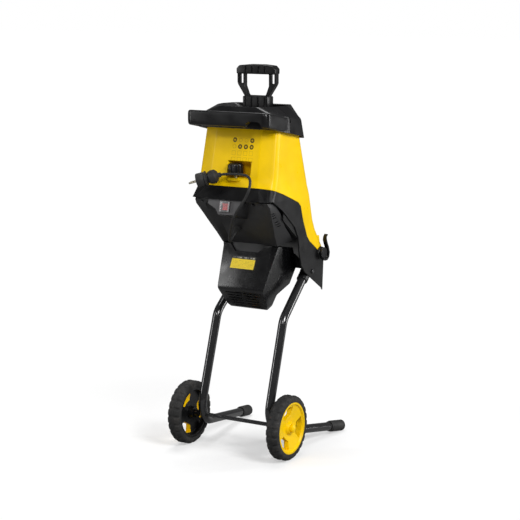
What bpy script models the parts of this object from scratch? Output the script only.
"""Electric garden shredder on a two-wheeled tubular stand.

Frame: metres, +Z up. The origin is on the ground under the middle of the
machine's outline. The operator stands at -Y, chips leave at +Y (the front),
+X is the operator's right. The pieces are laid out with Y measured from the
axle, and the last step moves them all back by MID_Y. The cutting disc and
motor share one tilted axis, and the local frame TILT (X across, V forward and
down along the deck, S up the motor axis) places everything that belongs to it.
"""
from contextlib import contextmanager
from math import sin, cos, tan, pi, radians

import bmesh
import bpy
from mathutils import Matrix, Vector

for old in list(bpy.data.objects):
    bpy.data.objects.remove(old, do_unlink=True)

# ------------------------------------------------------------ driving sizes
SIDES = (("left", -1), ("right", 1))
GAP = 0.0003                    # assembly gap between neighbouring pieces
MID_Y = 0.1072                  # middle of the outline, forward of the axle
WIDE = 0.15                     # half width of cutters that span the machine

WHEEL_R = 0.080
WHEEL_W = 0.033
WHEEL_OUT = 0.1577              # outer face of each wheel from the middle
WHEEL_IN = WHEEL_OUT - WHEEL_W
AXLE_R = 0.005
AXLE_BORE = AXLE_R + GAP
AXLE_Z = WHEEL_R

LEG_R = 0.011                   # 22 mm tube
LEG_WALL = 0.0015
LEG_SEGMENTS = 12

TILT_ANGLE = radians(36.0)      # motor axis from vertical
AXIS_Y, AXIS_Z = 0.040, 0.380   # S = 0 on the motor axis
DECK_S = 0.168                  # top face of the cutting deck
DECK_T = 0.005
REAR_S = 0.1850                 # raised rear floor, behind the disc
REAR_V0, REAR_V1 = -0.2200, -0.0930
UNDER_GAP = 0.0004              # clearance below deck and rear floor
DECK_UNDER = DECK_S - DECK_T - UNDER_GAP
REAR_UNDER = REAR_S - DECK_T - UNDER_GAP

HINGE_Y, HINGE_Z = 0.228, 0.476  # hopper hinge axis, along X
HINGE_PIN_R = 0.0040
FRONT_Y = 0.2205                # front wall of the base, inside face
FRONT_T = 0.004
HOPPER_T = 0.0035               # hopper wall
BASE_T = 0.0035                 # base wall
SPLIT_GAP = 0.0008              # gap along the parting line

KNOB_Y, KNOB_Z = -0.003, 0.693  # axis and underside of the locking knob
KNOB_R = 0.0185
STUD_R = 0.0040
PUSH_Y = 0.103                  # pusher centre

# parting line of hopper and base in side view (Y, Z)
SPLIT = [(-0.100, 0.690), (-0.055, 0.676), (0.032, 0.648), (0.108, 0.619),
         (0.121, 0.608), (0.131, 0.581), (0.157, 0.528), (0.170, 0.514),
         (HINGE_Y, HINGE_Z)]
# lower edge of collar and side wings in side view (Y, Z)
LOWER = [(-0.100, 0.635), (-0.018, 0.635), (0.030, 0.608), (0.094, 0.560),
         (0.113, 0.530), (0.119, 0.489), (0.132, 0.459), (0.150, 0.439),
         (0.250, 0.379)]


# ------------------------------------------------------------ materials
def material(name, rgb, roughness, metallic=0.0):
    mat = bpy.data.materials.new(name)
    mat.use_nodes = True
    shader = mat.node_tree.nodes["Principled BSDF"]
    shader.inputs["Base Color"].default_value = (*rgb, 1.0)
    shader.inputs["Roughness"].default_value = roughness
    shader.inputs["Metallic"].default_value = metallic
    mat.diffuse_color = (*rgb, 1.0)
    return mat


YELLOW = material("yellow_plastic", rgb=(0.93, 0.72, 0.0), roughness=0.35)
BLACK = material("black_plastic", rgb=(0.018, 0.018, 0.02), roughness=0.45)
GREY = material("dark_grey_plastic", rgb=(0.06, 0.06, 0.065), roughness=0.5)
PANEL = material("grey_panel_plastic", rgb=(0.16, 0.16, 0.17), roughness=0.45)
RED = material("red_rocker", rgb=(0.62, 0.03, 0.03), roughness=0.3)
CLEAR = material("clear_cover", rgb=(0.75, 0.75, 0.75), roughness=0.15)
RUBBER = material("black_rubber", rgb=(0.015, 0.015, 0.015), roughness=0.75)
PAINT = material("black_paint", rgb=(0.012, 0.012, 0.013), roughness=0.25)
STEEL = material("steel", rgb=(0.55, 0.55, 0.56), roughness=0.3, metallic=1.0)
ZINC = material("zinc_steel", rgb=(0.6, 0.6, 0.6), roughness=0.35, metallic=1.0)
COPPER = material("wound_copper", rgb=(0.6, 0.28, 0.12), roughness=0.4, metallic=1.0)
CARBON = material("carbon", rgb=(0.03, 0.03, 0.03), roughness=0.6)
LABEL = material("label_yellow", rgb=(0.9, 0.75, 0.03), roughness=0.4)
BRASS = material("nickel_brass", rgb=(0.7, 0.66, 0.55), roughness=0.3, metallic=1.0)


# ------------------------------------------------------------ frames
def shift(x, y, z=0.0):
    return Matrix.Translation((x, y, z))


def along_x(x, y, z):
    """Local Z laid along +X at a point."""
    return shift(x, y, z) @ Matrix.Rotation(pi / 2, 4, "Y")


def side_frame(sign, y, z):
    """Local Z laid outward along X, from the middle plane at (y, z)."""
    turn = Matrix.Rotation(0 if sign > 0 else pi, 4, "Z")
    return turn @ along_x(0, y * sign, z)


def along(point, direction):
    """Local Z laid along a direction at a point."""
    turn = Vector(direction).to_track_quat("Z", "Y").to_matrix().to_4x4()
    return Matrix.Translation(point) @ turn


def axes_frame(y_axis, z_axis, origin):
    """Local X along X; local Y, local Z and the origin as given."""
    rows = zip((1, 0, 0), y_axis, z_axis, origin)
    return Matrix([*rows, (0, 0, 0, 1)])


def slope_frame(top, bottom, facing=-1):
    """Local Y down a slope; local Z normal to it, toward -Y if facing is -1."""
    down = (bottom - top).normalized()
    normal = Vector((1, 0, 0)).cross(down).normalized() * facing
    return axes_frame(down, normal, top)


TILT = axes_frame((0, cos(TILT_ANGLE), -sin(TILT_ANGLE)),
                  (0, sin(TILT_ANGLE), cos(TILT_ANGLE)), (0, AXIS_Y, AXIS_Z))
KNOB_AXIS = shift(0, KNOB_Y)


def mirrored(point, sign):
    return Vector((sign * point[0], point[1], point[2]))


def span(sign, near, far):
    """X range between two distances from the middle, on one side."""
    return sorted((sign * near, sign * far))


# ------------------------------------------------------------ meshes
TOOL = "tool"                   # name of solids used up by Booleans


@contextmanager
def editing(mesh):
    bm = bmesh.new()
    bm.from_mesh(mesh)
    yield bm
    bm.to_mesh(mesh)
    bm.free()


def link(name, mesh):
    piece = bpy.data.objects.new(name, mesh)
    bpy.context.scene.collection.objects.link(piece)
    return piece


def finish(piece, mat, sharp_deg=30.0):
    """One material, smooth faces, sharp edges above an angle."""
    piece.data.materials.clear()
    piece.data.materials.append(mat)
    for face in piece.data.polygons:
        face.material_index = 0
        face.use_smooth = True
    piece.data.set_sharp_from_angle(angle=radians(sharp_deg))


def place(piece, frame):
    """Moves a mesh into a frame, keeping its faces outward."""
    piece.data.transform(frame)
    if frame.determinant() < 0:
        piece.data.flip_normals()


def set_origin(piece, point):
    piece.data.transform(Matrix.Translation(-Vector(point)))
    piece.location = point


def new_object(name, verts, faces, mat, sharp_deg, frame=None):
    mesh = bpy.data.meshes.new(name)
    mesh.from_pydata([tuple(v) for v in verts], [], faces)
    with editing(mesh) as bm:
        bmesh.ops.remove_doubles(bm, verts=bm.verts, dist=1e-6)
        bmesh.ops.recalc_face_normals(bm, faces=bm.faces)
    piece = link(name, mesh)
    finish(piece, mat, sharp_deg)
    if frame:
        place(piece, frame)
    return piece


def angles(count):
    return [2 * pi * k / count for k in range(count)]


def loft(rings, closed=False, frame=None, name=TOOL, mat=BLACK, sharp_deg=30.0):
    """Rings of equal count, joined in order; closed joins last to first."""
    size, count = len(rings[0]), len(rings)
    verts = [v for points in rings for v in points]
    faces = []
    for i in range(count if closed else count - 1):
        a, b = i * size, ((i + 1) % count) * size
        for k in range(size):
            j = (k + 1) % size
            faces.append((a + k, a + j, b + j, b + k))
    if not closed:
        faces.append(tuple(range(size)))
        faces.append(tuple(range((count - 1) * size, count * size)))
    return new_object(name, verts, faces, mat, sharp_deg, frame)


def prism(points, axis, lo, hi, frame=None, name=TOOL, mat=BLACK):
    """Polygon extruded along x, y or z. Points are the other two axes in order."""
    def ring_at(h):
        return [{"x": (h, p[0], p[1]), "y": (p[0], h, p[1]), "z": (p[0], p[1], h)}[axis]
                for p in points]
    return loft([ring_at(lo), ring_at(hi)], frame=frame, name=name, mat=mat)


def box(lo, hi, frame=None, name=TOOL, mat=BLACK):
    (x0, y0, z0), (x1, y1, z1) = lo, hi
    corners = [(x0, y0), (x1, y0), (x1, y1), (x0, y1)]
    return prism(corners, "z", z0, z1, frame, name, mat)


def block(half_x, half_y, lo, hi, frame=None, name=TOOL, mat=BLACK):
    """Box centred on the frame's Z axis."""
    return box((-half_x, -half_y, lo), (half_x, half_y, hi), frame, name, mat)


def lathe(profile, segments, frame=None, name=TOOL, mat=BLACK):
    """Closed (radius, height) profile turned about local Z. Radius 0 caps it."""
    verts, rings = [], []
    for r, h in profile:
        if r < 1e-7:
            rings.append([len(verts)] * segments)
            verts.append(Vector((0, 0, h)))
        else:
            rings.append(list(range(len(verts), len(verts) + segments)))
            verts += [Vector((r * cos(a), r * sin(a), h)) for a in angles(segments)]
    faces = []
    for i, lower in enumerate(rings):
        upper = rings[(i + 1) % len(rings)]
        for k in range(segments):
            j = (k + 1) % segments
            corners = tuple(dict.fromkeys((lower[k], lower[j], upper[j], upper[k])))
            if len(corners) > 2:
                faces.append(corners)
    return new_object(name, verts, faces, mat, 35.0, frame)


def rod(radius, lo, hi, segments, frame=None, chamfer=0.0, name=TOOL, mat=BLACK):
    if chamfer:
        rim = radius - chamfer
        profile = [(0, lo), (rim, lo), (radius, lo + chamfer),
                   (radius, hi - chamfer), (rim, hi), (0, hi)]
    else:
        profile = [(0, lo), (radius, lo), (radius, hi), (0, hi)]
    return lathe(profile, segments, frame, name, mat)


def ring(r_in, r_out, lo, hi, segments, frame=None, name=TOOL, mat=BLACK):
    profile = [(r_in, lo), (r_out, lo), (r_out, hi), (r_in, hi)]
    return lathe(profile, segments, frame, name, mat)


def sweep(path, radius, segments, inner=None, name=TOOL, mat=BLACK):
    """Round bar or tube with parallel frames, on a path that starts across X."""
    last = len(path) - 1
    tangents = [(path[min(i + 1, last)] - path[max(i - 1, 0)]).normalized()
                for i in range(len(path))]
    normal = Vector((1, 0, 0))
    normal = (normal - tangents[0] * normal.dot(tangents[0])).normalized()
    outside, inside = [], []
    for point, tangent in zip(path, tangents):
        normal = (normal - tangent * normal.dot(tangent)).normalized()
        binormal = tangent.cross(normal)
        for rings, r in ((outside, radius), (inside, inner)):
            if r:
                rings.append([point + normal * (r * cos(a)) + binormal * (r * sin(a))
                              for a in angles(segments)])
    return loft(outside + inside[::-1], closed=bool(inner), name=name, mat=mat)


def apply_modifiers(piece):
    graph = bpy.context.evaluated_depsgraph_get()
    graph.update()
    mesh = bpy.data.meshes.new_from_object(piece.evaluated_get(graph))
    piece.modifiers.clear()
    piece.data = mesh


def boolean(piece, tool, operation, keep=False):
    """Applies one exact Boolean and removes the tool unless it is kept."""
    mat = piece.data.materials[0]
    modifier = piece.modifiers.new("boolean", "BOOLEAN")
    modifier.operation = operation
    modifier.solver = "EXACT"
    modifier.object = tool
    apply_modifiers(piece)
    if not keep:
        bpy.data.objects.remove(tool, do_unlink=True)
    with editing(piece.data) as bm:
        bmesh.ops.remove_doubles(bm, verts=bm.verts, dist=2e-6)
        bmesh.ops.dissolve_degenerate(bm, edges=bm.edges, dist=1e-6)
    finish(piece, mat)


def cut(piece, tool, keep=False):
    boolean(piece, tool, "DIFFERENCE", keep)


def join(piece, tool):
    boolean(piece, tool, "UNION")


def intersect(piece, tool):
    boolean(piece, tool, "INTERSECT")


def bevel(piece, width, segments, angle_deg=35.0):
    """Bevels the edges sharper than the angle."""
    mat = piece.data.materials[0]
    with editing(piece.data) as bm:
        bmesh.ops.dissolve_limit(bm, angle_limit=radians(0.5), verts=bm.verts,
                                 edges=bm.edges)
        edges = [e for e in bm.edges if len(e.link_faces) == 2
                 and e.calc_face_angle(0) > radians(angle_deg)]
        bmesh.ops.bevel(bm, geom=edges, offset=width, offset_type="OFFSET",
                        segments=segments, profile=0.5, affect="EDGES",
                        clamp_overlap=True)
        bmesh.ops.remove_doubles(bm, verts=bm.verts, dist=1e-5)
    finish(piece, mat)


# ------------------------------------------------------------ outlines
def rounded(points, radii, steps=2):
    """Polygon with corners replaced by arcs; radius 0 keeps a corner sharp."""
    count = len(points)
    if not isinstance(radii, (list, tuple)):
        radii = [radii] * count
    out = []
    for i, radius in enumerate(radii):
        corner = Vector(points[i])
        back = Vector(points[i - 1]) - corner
        ahead = Vector(points[(i + 1) % count]) - corner
        longest = min(back.length * 0.45, ahead.length * 0.45)
        back.normalize()
        ahead.normalize()
        angle = back.angle(ahead)
        if radius <= 0 or angle > radians(179):
            out += [corner] * (steps + 1 if radius > 0 else 1)
            continue
        reach = min(radius / tan(angle / 2), longest)
        fitted = reach * tan(angle / 2)
        centre = corner + (back + ahead).normalized() * (fitted / sin(angle / 2))
        start = corner + back * reach - centre
        end = corner + ahead * reach - centre
        full = start.angle(end)
        turn = 1 if start.x * end.y - start.y * end.x > 0 else -1
        for k in range(steps + 1):
            spoke = start.copy()
            spoke.rotate(Matrix.Rotation(turn * full * k / steps, 2))
            out.append(centre + spoke)
    return out


def inset_poly(points, distance):
    """Moves every edge of a polygon inward."""
    count = len(points)
    area = sum(points[i][0] * points[(i + 1) % count][1]
               - points[(i + 1) % count][0] * points[i][1] for i in range(count))
    turn = 1 if area > 0 else -1
    out = []
    for i in range(count):
        corner = Vector(points[i])
        before = (corner - Vector(points[i - 1])).normalized()
        after = (Vector(points[(i + 1) % count]) - corner).normalized()
        normal_0 = Vector((-before.y, before.x)) * turn
        normal_1 = Vector((-after.y, after.x)) * turn
        middle = (normal_0 + normal_1).normalized()
        out.append(tuple(corner + middle * (distance / max(0.3, middle.dot(normal_0)))))
    return out


def both_halves(points):
    """Right half of an outline followed by its mirror image."""
    return points + [(-x, h) for x, h in reversed(points)]


def raised(line, rise):
    return [(y, z + rise) for y, z in line]


def side_cut(line, above, lo=-0.2, hi=0.2):
    """Everything above or below a (Y, Z) line, as a cutter from X lo to hi."""
    end_z = 0.95 if above else 0.30
    return prism(list(line) + [(line[-1][0], end_z), (line[0][0], end_z)], "x", lo, hi)


# Hopper and base share one outer surface. Each level gives the right half of
# its plan outline from back to front: z, back y, back half widths 1 and 2,
# side half width, side front y, (x, y) of the chamfer point, front half width,
# front y.
LEVELS = [
    (0.812, 0.016, 0.061, 0.097, 0.1000, 0.119, (0.090, 0.139), 0.065, 0.156),
    (0.800, 0.013, 0.062, 0.099, 0.101, 0.122, (0.090, 0.142), 0.066, 0.160),
    (0.690, -0.011, 0.066, 0.103, 0.107, 0.147, (0.092, 0.175), 0.070, 0.196),
    (0.667, -0.019, 0.068, 0.102, 0.108, 0.153, (0.092, 0.183), 0.071, 0.204),
    (0.632, -0.043, 0.090, 0.1085, 0.1125, 0.162, (0.092, 0.193), 0.072, 0.214),
    (0.563, -0.043, 0.088, 0.1065, 0.110, 0.184, (0.093, 0.214), 0.074, 0.236),
    (0.535, -0.043, 0.088, 0.1065, 0.110, 0.197, (0.093, 0.228), 0.075, 0.248),
    (0.490, -0.043, 0.088, 0.1065, 0.110, 0.232, (0.096, 0.258), 0.080, 0.272),
    (0.455, -0.043, 0.088, 0.1065, 0.108, 0.249, (0.101, 0.262), 0.084, 0.269),
    (0.372, -0.043, 0.088, 0.1065, 0.106, 0.247, (0.100, 0.259), 0.084, 0.266),
]
BASE_LEVELS = [level for level in LEVELS if level[0] < 0.70]
HOPPER_LEVELS = [level for level in LEVELS if level[0] > 0.45]


def outline(level, inset=0.0):
    """Plan outline of one level, moved inward by about the inset."""
    z, back, back_w1, back_w2, side_w, side_front, chamfer, front_w, front = level
    half = [(back_w1 - inset * 0.4, back + inset),
            (back_w2 - inset, back + 0.010 + inset * 0.7),
            (side_w - inset, back + 0.024),
            (side_w - inset, side_front - inset * 0.5),
            (chamfer[0] - inset * 0.8, chamfer[1] - inset * 0.7),
            (front_w - inset * 0.4, front - inset)]
    radii = [0.014, 0.014, 0.022, 0.020, 0.024, 0.020]
    return [(p[0], p[1], z) for p in rounded(both_halves(half), radii + radii[::-1])]


def shell(levels, outer, inner, name=TOOL, mat=BLACK):
    """Wall between two insets of the outer surface, open at both ends."""
    rings = ([outline(level, outer) for level in levels]
             + [outline(level, inner) for level in levels][::-1])
    return loft(rings, closed=True, name=name, mat=mat)


def filled(levels, inset):
    return loft([outline(level, inset) for level in levels])


# ------------------------------------------------------------ stand
CAP_R = 0.0143                  # rubber foot cap
CAP_L = 0.057
CAP_WALL = 0.0012
# centre line of the right leg: end in the socket, two bends, foot
LEG_TOP = Vector((0.0905, 0.2040, 0.4465))
LEG_UPPER = Vector((0.0952, 0.0635, 0.3322))
LEG_LOWER = Vector((0.0965, -0.0247, 0.0655))
LEG_FOOT = Vector((0.1414, 0.290, CAP_R - 0.0018))
UPPER_BEND, LOWER_BEND = 0.050, 0.058
FOOT_SHORT = 0.004              # tube ends this far before LEG_FOOT


def bend(before, corner, after, radius, steps):
    """Arc that rounds one corner of a centre line."""
    back, ahead = (before - corner).normalized(), (after - corner).normalized()
    angle = back.angle(ahead)
    reach = radius / tan(angle / 2)
    centre = corner + (back + ahead).normalized() * (radius / sin(angle / 2))
    start, end = corner + back * reach - centre, corner + ahead * reach - centre
    axis = start.cross(end).normalized()
    full = start.angle(end)
    return [centre + Matrix.Rotation(full * k / steps, 3, axis) @ start
            for k in range(steps + 1)]


def leg_path(sign):
    """Centre line: socket end, upper bend, straight, lower bend, foot."""
    end = LEG_FOOT + (LEG_LOWER - LEG_FOOT).normalized() * FOOT_SHORT
    path = [LEG_TOP] + bend(LEG_TOP, LEG_UPPER, LEG_LOWER, UPPER_BEND, 3)
    path += bend(LEG_UPPER, LEG_LOWER, end, LOWER_BEND, 6) + [end]
    return [mirrored(p, sign) for p in path]


def make_leg(side, sign):
    path = leg_path(sign)
    leg = sweep(path, LEG_R, LEG_SEGMENTS, inner=LEG_R - LEG_WALL,
                name="leg_tube_" + side, mat=PAINT)
    cut(leg, rod(AXLE_BORE, -0.03, 0.03, 10, along_x(sign * 0.097, 0, AXLE_Z)))
    make_foot_cap(side, sign, path)
    return leg


def make_foot_cap(side, sign, path):
    """Sleeve over the tube end, cut flat where it stands on the ground."""
    bore = LEG_R + GAP
    profile = [(0, -0.0060), (CAP_R - 0.003, -0.0060), (CAP_R, -0.0030),
               (CAP_R, CAP_L - 0.012), (CAP_R - CAP_WALL, CAP_L - 0.010),
               (CAP_R - CAP_WALL, CAP_L - 0.006), (bore, CAP_L - 0.006),
               (bore, -GAP), (0, -GAP)]
    cap = lathe(profile, 14, along(path[-1], (path[-2] - path[-1]).normalized()),
                name="foot_cap_" + side, mat=RUBBER)
    middle = sign * 0.144
    cut(cap, box((middle - 0.05, 0.20, -0.03), (middle + 0.05, 0.34, 0.0)))


# ------------------------------------------------------------ wheels
RIM_R = 0.064
AXLE_END = WHEEL_OUT + 0.004
WHEEL_MID = (WHEEL_IN + WHEEL_OUT) / 2
TYRE_BORE = RIM_R + GAP
SHOULDER_R = 0.0750             # tyre radius at both side faces
TYRE_SEGMENTS = 48              # every third one lies in a groove

# (radius, distance from the machine's middle)
RIM_PROFILE = [
    (AXLE_BORE, WHEEL_IN), (0.014, WHEEL_IN), (0.015, WHEEL_MID - 0.003),
    (0.056, WHEEL_MID - 0.003), (0.0575, WHEEL_IN + 0.002),
    (RIM_R, WHEEL_IN + 0.002), (RIM_R, WHEEL_OUT - 0.001),
    (0.0590, WHEEL_OUT - 0.0005), (0.0565, WHEEL_OUT - 0.0040),
    (0.0170, WHEEL_MID + 0.0065), (0.013, WHEEL_OUT - 0.003),
    (AXLE_BORE, WHEEL_OUT - 0.003)]
# (radius, distance from the machine's middle, groove depth)
TYRE_PROFILE = [
    (TYRE_BORE, WHEEL_IN, 0), (SHOULDER_R, WHEEL_IN, 0.0010),
    (WHEEL_R, WHEEL_IN + 0.0055, 0.0026), (WHEEL_R, WHEEL_IN + 0.0120, 0),
    (WHEEL_R, WHEEL_OUT - 0.0120, 0), (WHEEL_R, WHEEL_OUT - 0.0055, 0.0026),
    (SHOULDER_R, WHEEL_OUT, 0.0010), (TYRE_BORE, WHEEL_OUT, 0)]
AXLE_CAP_PROFILE = [
    (0, AXLE_END + 0.0028), (0.006, AXLE_END + 0.0022),
    (0.0095, AXLE_END - 0.0005), (0.0100, WHEEL_OUT - 0.0022),
    (AXLE_BORE, WHEEL_OUT - 0.0022), (AXLE_BORE, AXLE_END + GAP),
    (0, AXLE_END + GAP)]
# rim window (degrees from its middle, radius)
WINDOW = [(-27, 0.0530), (-9, 0.0545), (9, 0.0545), (27, 0.0530),
          (21, 0.0400), (0, 0.0385), (-21, 0.0400)]


def make_axle():
    rod(AXLE_R, -AXLE_END, AXLE_END, 14, along_x(0, 0, AXLE_Z), chamfer=0.0008,
        name="axle_rod", mat=PAINT)


def make_rim(side, sign, frame):
    """Rim with three windows between the spokes."""
    rim = lathe(RIM_PROFILE, 30, frame, name="wheel_rim_" + side, mat=YELLOW)
    for k in range(3):
        middle = 2 * pi * k / 3 + radians(80 if sign > 0 else 30)
        points = [(r * cos(middle + radians(deg)), r * sin(middle + radians(deg)))
                  for deg, r in WINDOW]
        cut(rim, prism(points, "z", WHEEL_IN - 0.01, WHEEL_OUT + 0.01, frame))
    set_origin(rim, (0, 0, AXLE_Z))


def make_tyre(side, frame):
    """Tyre with raised blocks round both shoulders."""
    rings = []
    for radius, h, groove in TYRE_PROFILE:
        points = []
        for k, a in enumerate(angles(TYRE_SEGMENTS)):
            r = radius - (groove if k % 3 == 0 else 0)
            points.append(Vector((r * cos(a), r * sin(a), h)))
        rings.append(points)
    tyre = loft(rings, closed=True, frame=frame, name="wheel_tyre_" + side,
                mat=RUBBER, sharp_deg=25)
    set_origin(tyre, (0, 0, AXLE_Z))


def make_wheel(side, sign):
    frame = side_frame(sign, 0, AXLE_Z)
    # sleeve between leg tube and wheel
    ring(AXLE_BORE, 0.0085, 0.1118, WHEEL_IN - 0.0008, 14, frame,
         name="axle_sleeve_" + side)
    make_rim(side, sign, frame)
    make_tyre(side, frame)
    # pressed cap that keeps the wheel on the axle
    lathe(AXLE_CAP_PROFILE, 12, frame, name="axle_cap_" + side)


# ------------------------------------------------------------ base housing
FLOOR = DECK_S - DECK_T         # underside of the deck
DECK_FRONT_V = 0.162
# side view of deck and raised rear floor (V, S)
DECK_PROFILE = [
    (REAR_V0, REAR_S - DECK_T), (REAR_V1 - DECK_T, REAR_S - DECK_T),
    (REAR_V1 - DECK_T, FLOOR), (DECK_FRONT_V, FLOOR), (DECK_FRONT_V, DECK_S),
    (REAR_V1, DECK_S), (REAR_V1, REAR_S), (REAR_V0, REAR_S)]
# top edge of the side wings in front of the hinge (Y, Z)
WING_TOP = [(0.245, 0.466), (0.262, 0.4555), (0.400, 0.4555)]
BEARING_SEAT_R = 0.0194
CHAMBER_R, CHAMBER_OUT = 0.0925, 0.0960
# arch in the lower edge of the front wall (X, Z)
FRONT_ARCH = [(-0.070, 0.40), (-0.070, 0.432), (0.070, 0.432), (0.070, 0.40)]


def make_base_shell():
    base = shell(BASE_LEVELS, 0.0, BASE_T, name="base_housing")
    cut(base, side_cut(raised(SPLIT, -SPLIT_GAP / 2) + WING_TOP, above=True))
    cut(base, side_cut(LOWER + [(0.262, 0.372), (0.400, 0.340)], above=False))
    return base


def deck_solid():
    """Cutting deck, parallel to the motor's end face."""
    deck = prism(DECK_PROFILE, "x", -0.112, 0.112, TILT)
    intersect(deck, filled(BASE_LEVELS, BASE_T * 0.4))
    front_end = [(0.245, 0.462), (0.300, 0.450)]
    cut(deck, side_cut(raised(SPLIT, -0.004) + front_end, above=True))
    for sign in (1, -1):
        cut(deck, side_cut(raised(LOWER, 0.002), False, *span(sign, 0.1030, 0.20)))
    return deck


def liner_solid():
    """Liner that closes the sides between the deck and the wings."""
    liner = shell(BASE_LEVELS, 0.0030, 0.0068)
    cut(liner, side_cut(raised(SPLIT, -0.005), above=True))
    cut(liner, block(WIDE, 0.40, -0.10, FLOOR + 0.001, TILT))
    cut(liner, box((-WIDE, -0.10, 0.30), (WIDE, 0.0400, 0.80)))
    cut(liner, box((-WIDE, 0.1600, 0.30), (WIDE, 0.40, 0.80)))
    return liner


def chamber_wall():
    """Wall round the cutting disc."""
    wall = ring(CHAMBER_R, CHAMBER_OUT, DECK_S - 0.002, 0.1835, 28, TILT)
    cut(wall, side_cut(raised(SPLIT, -0.003), above=True))
    return wall


def front_wall():
    outside = FRONT_Y + FRONT_T
    wall = box((-0.1050, FRONT_Y, 0.4140), (0.1050, outside, 0.4620))
    join(wall, box((-0.0950, FRONT_Y, 0.4600), (0.0950, outside, 0.4735)))
    cut(wall, prism(rounded(FRONT_ARCH, [0, 0.016, 0.016, 0], 3), "y", 0.20, 0.25))
    return wall


def add_rear_boss(base):
    """Boss the locking screw closes on, with the safety switch pocket."""
    boss = box((-0.014, -0.015, 0.620), (0.014, 0.009, 0.654))
    cut(boss, box((-0.05, -0.30, -0.10), (0.05, 0.0, REAR_S - 0.003), TILT))
    join(base, boss)
    cut(base, rod(0.0024, 0.6420, 0.660, 12, KNOB_AXIS))
    cut(base, box((-0.0066, -0.0092, 0.6432), (0.0066, 0.0200, 0.6490)))


def add_hinge_boss(base, sign):
    hinge = side_frame(sign, HINGE_Y, HINGE_Z)
    join(base, rod(0.0160, 0.1045, 0.1140, 18, hinge, chamfer=0.001))
    cut(base, rod(HINGE_PIN_R + 0.0004, 0.090, 0.130, 12, hinge))


def mount_leg(base, leg, side, sign):
    """Socket for the leg's upper end and the bolt across both."""
    path = leg_path(sign)
    top, axis = path[0], (path[0] - path[1]).normalized()
    join(base, rod(0.0142, -0.052, 0.010, 12, along(top, axis)))
    # the bore's flats clear the tube's corners
    bore = (LEG_R + GAP) / cos(pi / LEG_SEGMENTS)
    cut(base, rod(bore, -0.070, GAP, LEG_SEGMENTS, along(top, axis)))
    bolt_at = top - axis * 0.020
    frame = side_frame(sign, bolt_at.y, bolt_at.z)
    hole = rod(0.0034, 0.060, 0.115, 8, frame)
    cut(base, hole, keep=True)
    cut(leg, hole)
    lathe([(0, 0.0745), (0.0029, 0.0745), (0.0029, 0.1088), (0.0058, 0.1088),
           (0.0058, 0.1105), (0.0040, 0.1122), (0, 0.1124)], 10, frame,
          name="leg_bolt_" + side, mat=ZINC)


def make_base(legs):
    base = make_base_shell()
    join(base, deck_solid())
    join(base, liner_solid())
    join(base, chamber_wall())
    # bearing seat under the deck
    join(base, ring(BEARING_SEAT_R, 0.0235, 0.1465, DECK_S - 0.001, 18, TILT))
    cut(base, rod(BEARING_SEAT_R, 0.140, 0.1625, 18, TILT))
    cut(base, rod(0.0125, 0.150, 0.180, 12, TILT))
    # discharge opening in front of the motor
    cut(base, box((-0.060, 0.062, 0.150), (0.060, 0.146, 0.190), TILT))
    # between the wings the front wall stands back at the hinge line
    cut(base, box((-0.0985, FRONT_Y + FRONT_T, 0.300), (0.0985, 0.300, 0.500)))
    join(base, front_wall())
    add_rear_boss(base)
    for side, sign in SIDES:
        add_hinge_boss(base, sign)
        mount_leg(base, legs[side], side, sign)


# ------------------------------------------------------------ rear panel
# Shallow pan under the deck, behind the motor. Every station lies at one
# distance down the slope. The recess has a steep left wall and a long
# gentle right one that meet along a crease.
PAN_TOP, PAN_LOW = Vector((0, -0.0300, 0.6350)), Vector((0, 0.0639, 0.5140))
PAN_DOWN = (PAN_LOW - PAN_TOP).normalized()
PAN_IN = Vector((0, -PAN_DOWN.z, PAN_DOWN.y))      # into the housing
SLOPE = slope_frame(PAN_TOP, PAN_LOW)              # local Z points outward
PAN_T = 0.0025
PAN_CUT_Z = 0.5128              # the pan ends at this height
PAN_STATIONS = [
    # down, depth, X of ridge left, floor left, crease, ridge right, outer edge,
    # (x, y, z) of the right flank edge
    (0.0000, 0.0000, -0.0660, -0.0620, 0.0300, 0.0660, 0.0900, (0.1020, -0.0140, 0.6340)),
    (0.0060, 0.0030, -0.0670, -0.0625, 0.0270, 0.0670, 0.1000, (0.1040, -0.0040, 0.6300)),
    (0.0200, 0.0080, -0.0780, -0.0660, 0.0240, 0.0675, 0.1030, (0.1045, 0.0080, 0.6205)),
    (0.0520, 0.0080, -0.0765, -0.0616, 0.0190, 0.0690, 0.0960, (0.1030, 0.0320, 0.6010)),
    (0.0850, 0.0080, -0.0750, -0.0615, 0.0140, 0.0705, 0.0898, (0.1010, 0.0600, 0.5640)),
    (0.1200, 0.0080, -0.0738, -0.0613, 0.0100, 0.0718, 0.0822, (0.0975, 0.0880, 0.5430)),
    (0.1530, 0.0080, -0.0728, -0.0611, 0.0060, 0.0728, 0.0772, (0.0900, 0.1160, 0.5220)),
]


def under_deck_space():
    """Everything above the clearance line under deck and rear floor."""
    step = REAR_V1 - DECK_T - UNDER_GAP
    return prism([(-0.30, REAR_UNDER), (step, REAR_UNDER), (step, DECK_UNDER),
                  (0.20, DECK_UNDER), (0.20, 0.30), (-0.30, 0.30)],
                 "x", -WIDE, WIDE, TILT)


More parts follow.
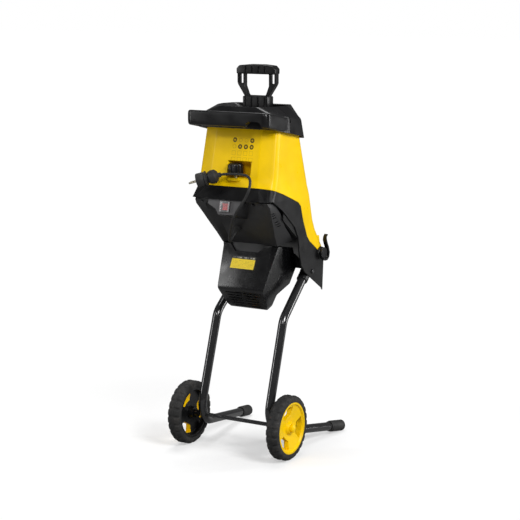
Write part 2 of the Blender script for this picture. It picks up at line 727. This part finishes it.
def make_pan():
    """Sheet through the stations, thickened to both sides."""
    verts = []
    for down, depth, ridge_l, floor_l, crease, ridge_r, outer, flank in PAN_STATIONS:
        p = PAN_TOP + PAN_DOWN * down
        q = p + PAN_IN * depth
        verts += [mirrored(flank, -1), (-outer, p.y, p.z), (ridge_l, p.y, p.z),
                  (floor_l, q.y, q.z), (crease, q.y, q.z), (ridge_r, p.y, p.z),
                  (outer, p.y, p.z), flank]
    row = 8                     # vertices per station
    faces = [(a, a + 1, a + row + 1, a + row)
             for i in range(len(PAN_STATIONS) - 1)
             for a in range(i * row, i * row + row - 1)]
    mesh = bpy.data.meshes.new("rear_panel")
    mesh.from_pydata([tuple(v) for v in verts], [], faces)
    pan = link("rear_panel", mesh)
    solidify = pan.modifiers.new("solidify", "SOLIDIFY")
    solidify.thickness = PAN_T
    solidify.offset = 0.0
    solidify.use_even_offset = True
    apply_modifiers(pan)
    with editing(pan.data) as bm:
        bmesh.ops.recalc_face_normals(bm, faces=bm.faces)
    finish(pan, GREY)
    cut(pan, under_deck_space())
    return pan


def cut_flank_vents(pan):
    """Two groups of three slots in each flank of the pan."""
    for _, sign in SIDES:
        for k in range(6):
            run = 0.010 + 0.0085 * k + (0.010 if k > 2 else 0.0)
            frame = (shift(sign * 0.0920, -0.006 + run * 0.70, 0.6095 - run * 0.66)
                     @ Matrix.Rotation(radians(15), 4, "X"))
            cut(pan, block(0.010, 0.0060, -0.0013, 0.0013, frame))


# ------------------------------------------------------------ switch panel
# The switch sits on a wedge that leans its face up at the operator. Frame
# SWITCH_FACE: X across, Y down the face, Z out of it.
LEAN = radians(15.0)
SWITCH_FACE = axes_frame((0, -sin(LEAN), -cos(LEAN)), (0, -cos(LEAN), sin(LEAN)),
                         (0, -0.0335, 0.6345))
ROCKER_AT = shift(-0.0066, 0.0178)      # rocker centre on the face
ROCKER = SWITCH_FACE @ ROCKER_AT
PANEL_OUTLINE = rounded([(-0.0574, 0.0010), (0.0430, 0.0010), (0.0190, 0.0362),
                         (-0.0250, 0.0370), (-0.0345, 0.0236), (-0.0577, 0.0117)],
                        [0.003, 0.003, 0.004, 0.003, 0.006, 0.004], 1)
PANEL_RIM = 0.0014              # wedge edge outside, wedge wall inside
# rocker in side view (face Y, face Z): shallow V, pivot across the middle
ROCKER_PROFILE = [(-0.0080, -0.0030), (-0.0045, -0.0070), (0.0045, -0.0070),
                  (0.0080, -0.0030), (0.0080, 0.0035), (0.0, 0.0018),
                  (-0.0080, 0.0060)]


def add_switch_wedge(pan):
    """Hollow wedge on the pan that carries the switch panel."""
    edge = [(x, max(v, 0.0)) for x, v in inset_poly(PANEL_OUTLINE, -PANEL_RIM)]
    wedge = prism(edge, "z", -0.0600, 0.0, SWITCH_FACE)
    # keep the part on the operator's side of the pan
    line = [(PAN_TOP + PAN_DOWN * down + PAN_IN * 0.0085).yz for down in (-0.030, 0.170)]
    intersect(wedge, prism(line + [(-0.30, 0.40), (-0.30, 0.70)], "x", -0.12, 0.12))
    cut(wedge, under_deck_space())
    join(pan, wedge)
    cut(pan, prism(inset_poly(PANEL_OUTLINE, PANEL_RIM), "z", -0.0700, -0.0024,
                   SWITCH_FACE))


def rocker_hole(frame):
    return block(0.0102, 0.0112, -0.02, 0.02, frame)


def make_switch_panel(pan):
    panel = prism(PANEL_OUTLINE, "z", GAP, 0.0018, name="switch_panel", mat=PANEL)
    cut(panel, rocker_hole(ROCKER_AT))
    place(panel, SWITCH_FACE)
    cut(pan, rocker_hole(ROCKER))


def make_rocker_switch():
    frame = block(0.0120, 0.0131, 0.0021, 0.0040, name="rocker_frame")
    join(frame, block(0.0099, 0.0109, -0.0120, 0.0030))
    cut(frame, block(0.0083, 0.0092, -0.0105, 0.02))
    place(frame, ROCKER)

    button = prism(ROCKER_PROFILE, "x", -0.0079, 0.0079, ROCKER,
                   name="rocker_button", mat=RED)
    set_origin(button, ROCKER @ Vector((0, 0, -0.0015)))

    # clear weather hood over the rocker
    hood = block(0.0118, 0.0129, 0.0043, 0.0120, name="switch_cover", mat=CLEAR)
    bevel(hood, 0.0010, 1)
    cut(hood, block(0.0109, 0.0120, 0.0, 0.0111))
    place(hood, ROCKER)


def make_reset_button(pan):
    """Overload reset button beside the switch."""
    frame = SLOPE @ shift(0.0590, 0.0130)
    cut(pan, rod(0.0052, -0.02, 0.02, 16, frame))
    button = lathe([(0, -0.0105), (0.0066, -0.0105), (0.0066, -0.0060),
                    (0.0047, -0.0060), (0.0047, 0.0030), (0.0036, 0.0042),
                    (0, 0.0046)], 16, frame, name="reset_button")
    set_origin(button, frame.to_translation())


def make_panel_screws(pan):
    """Screws in the outer facets of the pan."""
    for side, sign in SIDES:
        frame = SLOPE @ shift(sign * 0.0835, 0.0120)
        cut(pan, rod(0.0024, -0.02, 0.02, 10, frame))
        lathe([(0, -0.0080), (0.0020, -0.0080), (0.0020, 0.0016), (0.0042, 0.0016),
               (0.0036, 0.0030), (0, 0.0032)], 10, frame,
              name="panel_screw_" + side, mat=ZINC)


def turn_pan_down(pan):
    """Ends the pan above the motor cover with a lip turned down behind it."""
    end = [(-0.1, PAN_CUT_Z), (0.069, PAN_CUT_Z), (0.200, PAN_CUT_Z)]
    cut(pan, side_cut(end, above=False))
    lip = [(0.0690, 0.5210), (0.0742, 0.5128), (0.0635, 0.4890), (0.0658, 0.4885),
           (0.0764, 0.5125), (0.0716, 0.5222)]
    join(pan, prism(lip, "x", -0.0660, 0.0660))


def make_rear_panel():
    pan = make_pan()
    cut_flank_vents(pan)
    add_switch_wedge(pan)
    make_switch_panel(pan)
    make_rocker_switch()
    make_reset_button(pan)
    make_panel_screws(pan)
    turn_pan_down(pan)
    return pan


# ------------------------------------------------------------ motor cover
COVER_T = 0.003
# side view (Y, Z), from the top back corner down and round to the front
COVER_SIDE = [(0.0690, 0.5115), (0.0140, 0.4060), (0.0620, 0.3450),
              (0.0900, 0.3860), (0.1500, 0.4050), (0.1750, 0.4470),
              (0.1440, 0.4990)]
# view along Y (X, Z)
COVER_ACROSS = [(-0.0785, 0.5300), (-0.0785, 0.5115), (-0.0650, 0.4060),
                (-0.0580, 0.3620), (-0.0400, 0.3380), (0.0400, 0.3380),
                (0.0580, 0.3620), (0.0650, 0.4060), (0.0785, 0.5115),
                (0.0785, 0.5300)]
# dip in the cover's top back edge (X, Z)
COVER_DIP = [(0.062, 0.540), (0.060, 0.5095), (0.040, 0.5055), (0.024, 0.4935),
             (-0.040, 0.4935), (-0.056, 0.5085), (-0.060, 0.540)]
BACK_TOP, BACK_LOW, END_LOW = (Vector((0, y, z)) for y, z in COVER_SIDE[:3])


def cover_hollow():
    """Inside of the cover, carried on upward past its open top."""
    inner = [Vector(p) for p in inset_poly(COVER_SIDE, COVER_T)]
    up_back = Vector(COVER_SIDE[0]) - Vector(COVER_SIDE[1])
    up_front = Vector(COVER_SIDE[6]) - Vector(COVER_SIDE[5])
    hollow = prism([inner[1] + up_back * 1.25] + inner[1:6]
                   + [inner[5] + up_front * 1.6], "x", -0.09, 0.09)
    across = ([(-0.0755, 0.56)] + inset_poly(COVER_ACROSS, COVER_T)[1:9]
              + [(0.0755, 0.56)])
    intersect(hollow, prism(across, "y", -0.05, 0.25))
    return hollow


def cut_cover_vents(cover):
    """Six rows of paired slots in the end that faces down and back."""
    frame = slope_frame(BACK_LOW, END_LOW, facing=1)
    for k in range(6):
        row = 0.0130 + 0.0094 * k
        far = 0.046 - 0.0022 * k
        for _, sign in SIDES:
            x0, x1 = span(sign, 0.0045, far)
            cut(cover, box((x0, row - 0.0017, -0.012), (x1, row + 0.0017, 0.012), frame))


def make_motor_cover():
    side_radii = [0, 0.012, 0.010, 0.008, 0.010, 0.006, 0]
    across_radii = [0, 0, 0, 0.010, 0.010, 0.010, 0.010, 0, 0, 0]
    cover = prism(rounded(COVER_SIDE, side_radii), "x", -0.09, 0.09, name="motor_cover")
    intersect(cover, prism(rounded(COVER_ACROSS, across_radii, 1), "y", -0.05, 0.25))
    bevel(cover, 0.0045, 2, angle_deg=60)
    cut(cover, cover_hollow())
    cut(cover, box((-WIDE, -0.30, DECK_UNDER), (WIDE, 0.25, 0.30), TILT))
    cut(cover, rod(0.0240, 0.1400, 0.1800, 18, TILT))
    cut_cover_vents(cover)
    cut(cover, prism(COVER_DIP, "y", 0.03, 0.0850))


def make_nameplate():
    """Label on the cover's back face."""
    points = [(-0.0435, 0.0325), (0.0245, 0.0325), (0.0245, 0.0660), (-0.0435, 0.0660)]
    prism(rounded(points, 0.002, 1), "z", GAP, 0.0010, slope_frame(BACK_TOP, BACK_LOW),
          name="nameplate", mat=LABEL)


# ------------------------------------------------------------ motor
SHAFT_R = 0.0050
SHAFT_BORE = SHAFT_R + 0.0004
STACK_S0, STACK_S1 = 0.050, 0.104       # stator and armature stack
FAN_S0, FAN_S1 = 0.114, 0.128
FAN_BLADES = 6
# (radius, S)
SHAFT_PROFILE = [(0, 0.008), (0.0046, 0.008), (SHAFT_R, 0.0085), (SHAFT_R, 0.130),
                 (0.0080, 0.130), (0.0080, 0.1720), (SHAFT_R, 0.1720),
                 (SHAFT_R, 0.1850), (0, 0.1850)]
ARMATURE_PROFILE = [(SHAFT_R + GAP, 0.024), (0.0125, 0.024), (0.0125, 0.042),
                    (0.0190, 0.045), (0.0215, STACK_S0), (0.0240, STACK_S0),
                    (0.0240, STACK_S1), (0.0215, STACK_S1), (0.0180, 0.111),
                    (SHAFT_R + GAP, 0.111)]


def make_fan():
    """Hub, back plate and straight blades."""
    fan = ring(SHAFT_BORE, 0.0120, FAN_S0, FAN_S1, 14, TILT, name="cooling_fan", mat=GREY)
    join(fan, ring(0.0100, 0.0340, FAN_S1 - 0.002, FAN_S1, 20, TILT))
    for angle in angles(FAN_BLADES):
        join(fan, box((0.0105, -0.0008, 0.1160), (0.0335, 0.0008, 0.1265),
                      TILT @ Matrix.Rotation(angle, 4, "Z")))


def make_motor():
    ring(0.0250, 0.0385, STACK_S0, STACK_S1, 24, TILT, name="motor_stator", mat=STEEL)
    lathe(SHAFT_PROFILE, 16, TILT, name="rotor_shaft", mat=STEEL)
    lathe(ARMATURE_PROFILE, 16, TILT, name="armature", mat=COPPER)
    make_fan()
    ring(SHAFT_BORE, 0.0110, 0.0115, 0.0195, 16, TILT, name="bearing_lower", mat=STEEL)
    ring(0.0085, 0.0190, 0.1485, 0.1610, 18, TILT, name="bearing_upper", mat=STEEL)
    for side, sign in SIDES:
        x0, x1 = span(sign, 0.0130, 0.0300)
        box((x0, -0.0045, 0.0280), (x1, 0.0045, 0.0370), TILT,
            name="carbon_brush_" + side, mat=CARBON)


# ------------------------------------------------------------ cutting disc
DISC_R = 0.088
DISC_S = 0.1723                 # underside of the disc
DISC_T = 0.006
BLADE_S = DISC_S + DISC_T + GAP
BLADE_T = 0.0050
HEAD_S = BLADE_S + BLADE_T + GAP        # underside of the screw heads
BLADE_SCREW_X = (0.040, 0.068)
# section across the blade (Y, S), ground along its leading side
BLADE_SECTION = [(-0.012, BLADE_S), (0.0145, BLADE_S),
                 (0.0060, BLADE_S + BLADE_T), (-0.012, BLADE_S + BLADE_T)]
BLADE_SCREW_PROFILE = [(0, 0.1715), (0.0025, 0.1715), (0.0025, HEAD_S),
                       (0.0050, HEAD_S), (0.0050, HEAD_S + 0.0032),
                       (0, HEAD_S + 0.0032)]


def blade_hole(x, frame):
    return rod(0.0030, 0.16, 0.20, 8, frame @ shift(x, 0))


def make_blade(letter, frame):
    blade = prism(BLADE_SECTION, "x", 0.026, 0.082, name="blade_" + letter, mat=STEEL)
    for x in BLADE_SCREW_X:
        cut(blade, blade_hole(x, Matrix.Identity(4)))
    place(blade, frame)
    for number, x in enumerate(BLADE_SCREW_X, 1):
        lathe(BLADE_SCREW_PROFILE, 8, frame @ shift(x, 0),
              name=f"blade_screw_{letter}{number}", mat=ZINC)


def make_disc():
    """Disc with a slot beside each of its two blades."""
    disc = ring(SHAFT_BORE, DISC_R, DISC_S, DISC_S + DISC_T, 32, TILT,
                name="blade_disc", mat=STEEL)
    for k, letter in enumerate("ab"):
        frame = TILT @ Matrix.Rotation(pi * k, 4, "Z")
        cut(disc, box((0.030, 0.0146, 0.16), (0.078, 0.0236, 0.20), frame))
        for x in BLADE_SCREW_X:
            cut(disc, blade_hole(x, frame))
        make_blade(letter, frame)
    nut = lathe([(0, BLADE_S), (0.0110, BLADE_S), (0.0110, BLADE_S + 0.0010),
                 (0.0092, BLADE_S + 0.0014), (0.0092, BLADE_S + 0.0060),
                 (0, BLADE_S + 0.0060)], 6, TILT, name="disc_nut", mat=ZINC)
    cut(nut, rod(SHAFT_BORE, 0.170, 0.200, 12, TILT))


def make_safety_switch():
    box((-0.0062, KNOB_Y - 0.0056, 0.6436), (0.0062, KNOB_Y + 0.0090, 0.6483),
        name="safety_switch")
    rod(0.0020, 0.6486, 0.6541, 12, KNOB_AXIS, name="safety_plunger", mat=ZINC)


# ------------------------------------------------------------ hopper
# plan of the niche opening (X, Y) and its corner radii
NICHE = [(-0.0210, -0.060), (0.046, -0.060), (0.044, 0.010), (0.030, 0.0240),
         (-0.004, 0.0200), (-0.0162, 0.0115), (-0.0210, 0.0000)]
NICHE_RADII = [0, 0, 0.006, 0.008, 0.006, 0.004, 0.004]
LEDGE = [(-0.017, 0.003), (-0.017, -0.021), (0.017, -0.021), (0.017, 0.003)]
LIP_Z = 0.4800                  # lower edge of hopper in front of the hinge
# side view of hinge ear and of the web that ties it to the wall (Y, Z)
EAR = [(HINGE_Y - 0.011, HINGE_Z - 0.002), (HINGE_Y, HINGE_Z - 0.0115),
       (HINGE_Y + 0.011, HINGE_Z - 0.002), (HINGE_Y + 0.004, 0.520),
       (HINGE_Y - 0.030, 0.520)]
EAR_WEB = [(HINGE_Y - 0.026, 0.5195), (HINGE_Y + 0.0035, 0.5195),
           (HINGE_Y + 0.008, 0.4900), (HINGE_Y - 0.010, 0.4990)]


def add_knob_niche(hopper):
    """Niche in the back for the locking knob, with a ledge at its floor."""
    niche = box((-0.0400, -0.012, 0.6795), (0.0480, 0.0275, 0.7295))
    intersect(niche, filled(HOPPER_LEVELS, 0.0008))
    join(hopper, niche)
    cut(hopper, prism(rounded(NICHE, NICHE_RADII, 1), "z", 0.6855, 0.7260))
    join(hopper, prism(rounded(LEDGE, [0, 0.008, 0.008, 0]), "z", 0.6790, 0.6856))
    cut(hopper, rod(0.0046, 0.66, 0.70, 14, KNOB_AXIS))


def add_front_lip(hopper):
    """Floor of the front lip, over the base's front wall."""
    lip_top = LIP_Z + 0.0032
    lip = prism([(0.2290, LIP_Z), (0.3000, LIP_Z), (0.3000, lip_top), (0.2290, lip_top)],
                "x", -0.0962, 0.0962)
    intersect(lip, filled(HOPPER_LEVELS, 0.0010))
    join(hopper, lip)


def hinge_clearance(frame):
    """Space for the base's hinge boss."""
    return rod(0.0170, 0.1042, 0.130, 18, frame)


def add_hinge_ear(hopper, side, sign):
    """Ear inside the base wall, and its hinge pin."""
    frame = side_frame(sign, HINGE_Y, HINGE_Z)
    ear = prism(rounded(EAR, [0.006, 0.008, 0.006, 0.002, 0.002]), "x",
                *span(sign, 0.0965, 0.1038))
    web = prism(EAR_WEB, "x", *span(sign, 0.1030, 0.1080))
    intersect(web, filled(HOPPER_LEVELS, 0.0010))
    cut(web, hinge_clearance(frame))
    join(ear, web)
    cut(hopper, hinge_clearance(frame))
    join(hopper, ear)
    cut(hopper, rod(HINGE_PIN_R + GAP, 0.090, 0.130, 16, frame))
    lathe([(0, 0.0940), (HINGE_PIN_R, 0.0940), (HINGE_PIN_R, 0.1143),
           (0.0075, 0.1143), (0.0070, 0.1158), (0, 0.1162)], 12, frame,
          name="hinge_pin_" + side, mat=ZINC)


def make_hopper():
    hopper = shell(HOPPER_LEVELS, 0.0, HOPPER_T, name="hopper_shell", mat=YELLOW)
    add_knob_niche(hopper)
    add_front_lip(hopper)
    lower_edge = raised(SPLIT, SPLIT_GAP / 2)[:-1]
    lower_edge += [(0.2120, 0.4870), (0.2270, LIP_Z), (0.4000, LIP_Z)]
    cut(hopper, side_cut(lower_edge, above=False))
    for side, sign in SIDES:
        add_hinge_ear(hopper, side, sign)


# ------------------------------------------------------------ funnel
def crease_z(y):
    return 0.8430 - (y + 0.050) * 0.112


def skirt_z(y):
    return 0.8130 - (y + 0.050) * 0.190


def rim_z(y):
    return 0.8562 - max(0.0, 0.060 - y) * 0.010


TIGHT, RIM_ROUND = [0.012] * 4, [0.014] * 4
SKIRT_ROUND = [0.018, 0.03, 0.016, 0.018]
THROAT_IN = [(0.056, 0.036), (0.060, 0.075), (0.060, 0.110), (0.050, 0.130)]
THROAT_OUT = [(0.059, 0.0335), (0.063, 0.075), (0.063, 0.111), (0.0525, 0.1330)]
# up the throat, over the rim, down the skirt and back underneath:
# (right half of the plan (X, Y) from the back, corner radii, height at y)
FUNNEL_RINGS = [
    (THROAT_IN, TIGHT, lambda y: 0.796),
    (THROAT_IN, TIGHT, lambda y: 0.838),
    ([(0.052, 0.0145), (0.0815, 0.054), (0.0880, 0.085), (0.0765, 0.1265)],
     TIGHT, lambda y: rim_z(y) - 0.0018),
    ([(0.055, 0.008), (0.0850, 0.052), (0.0915, 0.085), (0.080, 0.130)],
     RIM_ROUND, rim_z),
    ([(0.104, -0.002), (0.1115, 0.060), (0.1095, 0.120), (0.087, 0.158)],
     SKIRT_ROUND, lambda y: crease_z(y) + 0.001),
    ([(0.106, -0.004), (0.1130, 0.060), (0.1110, 0.122), (0.088, 0.162)],
     SKIRT_ROUND, lambda y: crease_z(y) - 0.004),
    ([(0.108, -0.006), (0.1150, 0.060), (0.1130, 0.130), (0.091, 0.1745)],
     SKIRT_ROUND, skirt_z),
    ([(0.105, -0.0035), (0.1120, 0.060), (0.1100, 0.1285), (0.089, 0.1715)],
     SKIRT_ROUND, skirt_z),
    ([(0.103, -0.0005), (0.1100, 0.060), (0.1080, 0.1185), (0.086, 0.1570)],
     SKIRT_ROUND, lambda y: crease_z(y) - 0.0050),
    ([(0.055, 0.0118), (0.0825, 0.0535), (0.0890, 0.085), (0.0780, 0.1280)],
     RIM_ROUND, lambda y: rim_z(y) - 0.0060),
    (THROAT_OUT, TIGHT, lambda y: 0.8340),
    (THROAT_OUT, TIGHT, lambda y: 0.796),
]
# transport handle, a deep band behind the funnel on two arms
BAND_HALF = 0.1135
BAND_BACK = -0.0495
BAND_SIDE = [(BAND_BACK, 0.8132), (0.0500, 0.7950), (0.0500, 0.8300),
             (BAND_BACK, 0.8490)]                        # side view (Y, Z)
BAND_PLAN = (rounded([(BAND_HALF, 0.060), (BAND_HALF, BAND_BACK),
                      (-BAND_HALF, BAND_BACK), (-BAND_HALF, 0.060)],
                     [0, 0.014, 0.014, 0], 4)
             + rounded([(-0.1040, 0.060), (-0.1040, -0.0310),
                        (0.1040, -0.0310), (0.1040, 0.060)],
                       [0, 0.012, 0.012, 0], 3))
FINGER_ARCH = [(0.058, 0.800), (0.058, 0.8240), (0.096, 0.8240), (0.096, 0.800)]


def funnel_ring(half, radii, height):
    points = rounded(both_halves(half), radii + radii[::-1], 3)
    return [(p[0], p[1], height(p[1])) for p in points]


def handle_band():
    band = prism(BAND_SIDE, "x", -BAND_HALF, BAND_HALF)
    intersect(band, prism(BAND_PLAN, "z", 0.70, 0.90))
    bevel(band, 0.0045, 2, angle_deg=55)
    # finger arch in the lower edge near the right end
    cut(band, prism(rounded(FINGER_ARCH, [0, 0.012, 0.012, 0], 3), "y", -0.10, -0.0400))
    return band


def make_funnel():
    funnel = loft([funnel_ring(*row) for row in FUNNEL_RINGS], closed=True,
                  name="hopper_funnel")
    join(funnel, handle_band())
    # two small moulding notches in each side of the skirt
    for _, sign in SIDES:
        x0, x1 = span(sign, 0.1135, 0.130)
        for y in (0.012, 0.062):
            z = crease_z(y)
            cut(funnel, box((x0, y - 0.0022, z - 0.011), (x1, y + 0.0022, z - 0.001)))


# ------------------------------------------------------------ pusher
PLUNGER_X, PLUNGER_Y = 0.0400, 0.0200   # half sizes
PLUNGER_LOW, PLUNGER_T = 0.7000, 0.003
PLUNGER_RIB = 0.0015            # half thickness of the rib across the middle
HANDLE_Y, HEAD_Y, GRIP_Y = 0.0068, 0.0155, 0.0130   # half depths along Y
GROOVE_DEEP = 0.0018            # grooves in head and grip
PUSH_AXIS = shift(0, PUSH_Y)
# outline of neck, kinked arms and their top, as seen from the operator (X, Z)
HANDLE = both_halves([(0.0345, 0.8500), (0.0345, 0.8760), (0.0520, 0.9020),
                      (0.0545, 0.9080), (0.0545, 0.9400)])
HANDLE_RADII = [0, 0.004, 0.008, 0.006, 0, 0, 0.006, 0.008, 0.004, 0]
HANDLE_WINDOW = both_halves([(0.0255, 0.8770), (0.0345, 0.9000), (0.0345, 0.9310)])
GRIP = both_halves([(0.0545, 0.9290), (0.0547, 0.9420), (0.0470, 0.9500),
                    (0.0200, 0.9525)])
GRIP_RADII = [0.003, 0.004, 0.006, 0, 0, 0.006, 0.004, 0.003]


def make_plunger():
    """Square tube with a floor and one rib, open at the top."""
    plunger = block(PLUNGER_X, PLUNGER_Y, PLUNGER_LOW, 0.8357, PUSH_AXIS,
                    name="pusher_plunger")
    bevel(plunger, 0.003, 1)
    half_y = PLUNGER_Y - PLUNGER_T
    for _, sign in SIDES:
        x0, x1 = span(sign, PLUNGER_RIB, PLUNGER_X - PLUNGER_T)
        cut(plunger, box((x0, PUSH_Y - half_y, PLUNGER_LOW + PLUNGER_T),
                         (x1, PUSH_Y + half_y, 0.90)))


def cut_grooves(solid, half_y, half_width, lo, hi):
    """Four upright grooves, one step apart, in both the back and the front."""
    for x in (-0.027, -0.009, 0.009, 0.027):
        for sign in (-1, 1):
            y0, y1 = sorted((PUSH_Y + sign * (half_y - GROOVE_DEEP), PUSH_Y + sign * 0.03))
            cut(solid, box((x - half_width, y0, lo), (x + half_width, y1, hi)))


def make_pusher_handle():
    handle = prism(rounded(HANDLE, HANDLE_RADII, 1), "y", PUSH_Y - HANDLE_Y,
                   PUSH_Y + HANDLE_Y, name="pusher_handle")
    cut(handle, prism(rounded(HANDLE_WINDOW, 0.004, 1), "y", PUSH_Y - 0.05,
                      PUSH_Y + 0.05))
    for _, sign in SIDES:
        x0, x1 = span(sign, 0.0378, 0.0500)
        cut(handle, box((x0, PUSH_Y - 0.05, 0.9060), (x1, PUSH_Y + 0.05, 0.9300)))
    head = block(0.0352, HEAD_Y, 0.8360, 0.8755, PUSH_AXIS)
    bevel(head, 0.0025, 1)
    grip = prism(rounded(GRIP, GRIP_RADII, 1), "y", PUSH_Y - GRIP_Y, PUSH_Y + GRIP_Y)
    bevel(grip, 0.0050, 2, angle_deg=60)
    cut_grooves(grip, GRIP_Y, 0.0024, 0.9200, 0.9480)
    cut_grooves(head, HEAD_Y, 0.0026, 0.8440, 0.8900)
    join(handle, head)
    join(handle, grip)


# ------------------------------------------------------------ locking knob
KNOB_FLUTES = 12
KNOB_SEGMENTS = 36
# (height, radius, flute depth)
KNOB_PROFILE = [(0.0, KNOB_R - 0.0006, 0.00176), (0.0240, KNOB_R, 0.00176),
                (0.0270, 0.0145, 0.0)]


def make_knob():
    centre = (0, KNOB_Y, KNOB_Z)
    rings = []
    for h, radius, depth in KNOB_PROFILE:
        points = []
        for a in angles(KNOB_SEGMENTS):
            r = radius - depth * (1 + cos(KNOB_FLUTES * a)) / 2
            points.append(Vector((r * cos(a), KNOB_Y + r * sin(a), KNOB_Z + h)))
        rings.append(points)
    knob = loft(rings, name="locking_knob")
    cut(knob, rod(STUD_R + GAP, KNOB_Z - 0.01, KNOB_Z + 0.016, 14, KNOB_AXIS))
    set_origin(knob, centre)
    stud = rod(STUD_R, 0.6546, KNOB_Z + 0.0157, 14, KNOB_AXIS, chamfer=0.0008,
               name="locking_stud", mat=ZINC)
    set_origin(stud, centre)
    ring(STUD_R + GAP, 0.0085, 0.6660, 0.6676, 14, KNOB_AXIS, name="stud_washer",
         mat=ZINC)


# ------------------------------------------------------------ bag hooks
# line of the right hook's strip (X, Y, Z), from the hinge to its tip
HOOK_LINE = [(0.1146, 0.2200, 0.4645), (0.1146, 0.2290, 0.4590),
             (0.1146, 0.2390, 0.4590), (0.1146, 0.2470, 0.4650),
             (0.1148, 0.2490, 0.4760), (0.1145, 0.2450, 0.4880),
             (0.1150, 0.2375, 0.4990), (0.1155, 0.2310, 0.5100),
             (0.1165, 0.2300, 0.5180), (0.1185, 0.2330, 0.5240)]
HOOK_OUT = 0.0052               # strip centre, outward of the line
HOOK_HALF_T = 0.0024
HOOK_HALF_W, HOOK_TIP_HALF_W = 0.0048, 0.0040


def make_bag_hook(side, sign):
    """Bent strip on a round eye over the hinge."""
    last = len(HOOK_LINE) - 1
    rings = []
    for i, (x, y, z) in enumerate(HOOK_LINE):
        run = Vector(HOOK_LINE[min(i + 1, last)]) - Vector(HOOK_LINE[max(i - 1, 0)])
        offset = Vector((0, run.z, -run.y)).normalized() * HOOK_HALF_T
        half_w = HOOK_HALF_W if i < 8 else HOOK_TIP_HALF_W
        near = mirrored((x + HOOK_OUT - half_w, y, z), sign)
        far = mirrored((x + HOOK_OUT + half_w, y, z), sign)
        rings.append([near + offset, far + offset, far - offset, near - offset])
    hook = loft(rings, name="bag_hook_" + side)
    join(hook, rod(0.0150, 0.1166, 0.1220, 16, side_frame(sign, HINGE_Y, HINGE_Z),
                   chamfer=0.001))


# ------------------------------------------------------------ mains lead
# The boot stands square to the pan; the lead turns up from its tip, crosses
# the collar and passes behind the locking knob to the resting plug.
BOOT_AT = Vector((-0.0205, 0.0417, 0.5554))
BOOT_OUT = Vector((0.0, -0.7900, -0.6131)).normalized()
BOOT_PROFILE = [(0.0046, -0.006), (0.0085, -0.006), (0.0085, 0.004),
                (0.0075, 0.0060), (0.0075, 0.009), (0.0062, 0.0100),
                (0.0070, 0.0140), (0.0056, 0.0155), (0.0064, 0.0200),
                (0.0050, 0.0215), (0.0056, 0.0280), (0.0046, 0.0300)]
CORD_R = 0.0032
# points the cord passes through: inside the boot, then free
CORD_POINTS = [BOOT_AT - BOOT_OUT * 0.004, BOOT_AT + BOOT_OUT * 0.014,
               BOOT_AT + BOOT_OUT * 0.0310] + [Vector(p) for p in (
    (-0.0260, 0.0120, 0.5265), (-0.0235, 0.0040, 0.5333), (-0.0118, -0.0120, 0.5525),
    (0.0030, -0.0300, 0.5733), (0.0178, -0.0450, 0.5910), (0.0317, -0.0525, 0.6100),
    (0.0432, -0.0535, 0.6256), (0.0540, -0.0515, 0.6422), (0.0637, -0.0515, 0.6601),
    (0.0651, -0.0470, 0.6733), (0.0618, -0.0400, 0.6864), (0.0502, -0.0330, 0.6945),
    (0.0336, -0.0290, 0.6970), (0.0127, -0.0275, 0.6970), (-0.0074, -0.0300, 0.6962),
    (-0.0225, -0.0345, 0.6945))]
PLUG_OUT = Vector((-0.890, -0.360, -0.270)).normalized()
# sleeve, body, collar and face (radius, distance along the plug)
PLUG_PROFILE = [(0, 0.0), (0.0055, 0.0), (0.0062, 0.006), (0.0120, 0.009),
                (0.0165, 0.014), (0.0168, 0.024), (0.0140, 0.030), (0.0120, 0.032),
                (0.0120, 0.0345), (0.0185, 0.0355), (0.0188, 0.0385),
                (0.0160, 0.0395), (0.0175, 0.0420), (0.0178, 0.0580),
                (0.0168, 0.0600), (0, 0.0600)]


def smooth_path(points, steps):
    """Catmull-Rom curve through the points."""
    out = []
    last = len(points) - 1
    for i in range(last):
        p0, p1 = points[max(i - 1, 0)], points[i]
        p2, p3 = points[i + 1], points[min(i + 2, last)]
        for k in range(steps):
            t = k / steps
            out.append(0.5 * ((2 * p1) + (p2 - p0) * t
                              + (2 * p0 - 5 * p1 + 4 * p2 - p3) * t * t
                              + (3 * p1 - p0 - 3 * p2 + p3) * t ** 3))
    return out + [points[-1]]


def make_lead(pan):
    boot_frame = along(BOOT_AT, BOOT_OUT)
    cut(pan, rod(0.0090, -0.020, 0.020, 12, boot_frame))
    lathe(BOOT_PROFILE, 12, boot_frame, name="cord_boot", mat=RUBBER)
    sweep(smooth_path(CORD_POINTS, 2), CORD_R, 6, name="power_cord", mat=RUBBER)


def make_plug():
    """Plug that points to the operator's left, with two pins side by side."""
    start = CORD_POINTS[-1] + PLUG_OUT * 0.0006
    lathe(PLUG_PROFILE, 16, along(start, PLUG_OUT), name="plug_body", mat=RUBBER)
    across = PLUG_OUT.cross(Vector((0, 0, 1))).normalized()
    for side, sign in SIDES:
        foot = start + PLUG_OUT * 0.0603 + across * (0.0095 * sign)
        rod(0.0024, 0, 0.019, 8, along(foot, PLUG_OUT), chamfer=0.0007,
            name="plug_pin_" + side, mat=BRASS)


# ------------------------------------------------------------ assembly
def build():
    legs = {side: make_leg(side, sign) for side, sign in SIDES}
    make_axle()
    for side, sign in SIDES:
        make_wheel(side, sign)
    make_base(legs)
    pan = make_rear_panel()
    make_motor_cover()
    make_nameplate()
    make_motor()
    make_disc()
    make_safety_switch()
    make_hopper()
    make_funnel()
    make_plunger()
    make_pusher_handle()
    make_knob()
    for side, sign in SIDES:
        make_bag_hook(side, sign)
    make_lead(pan)
    make_plug()
    # move the middle of the outline over the origin
    for piece in bpy.data.objects:
        piece.location.y -= MID_Y
        piece.data.update()


build()
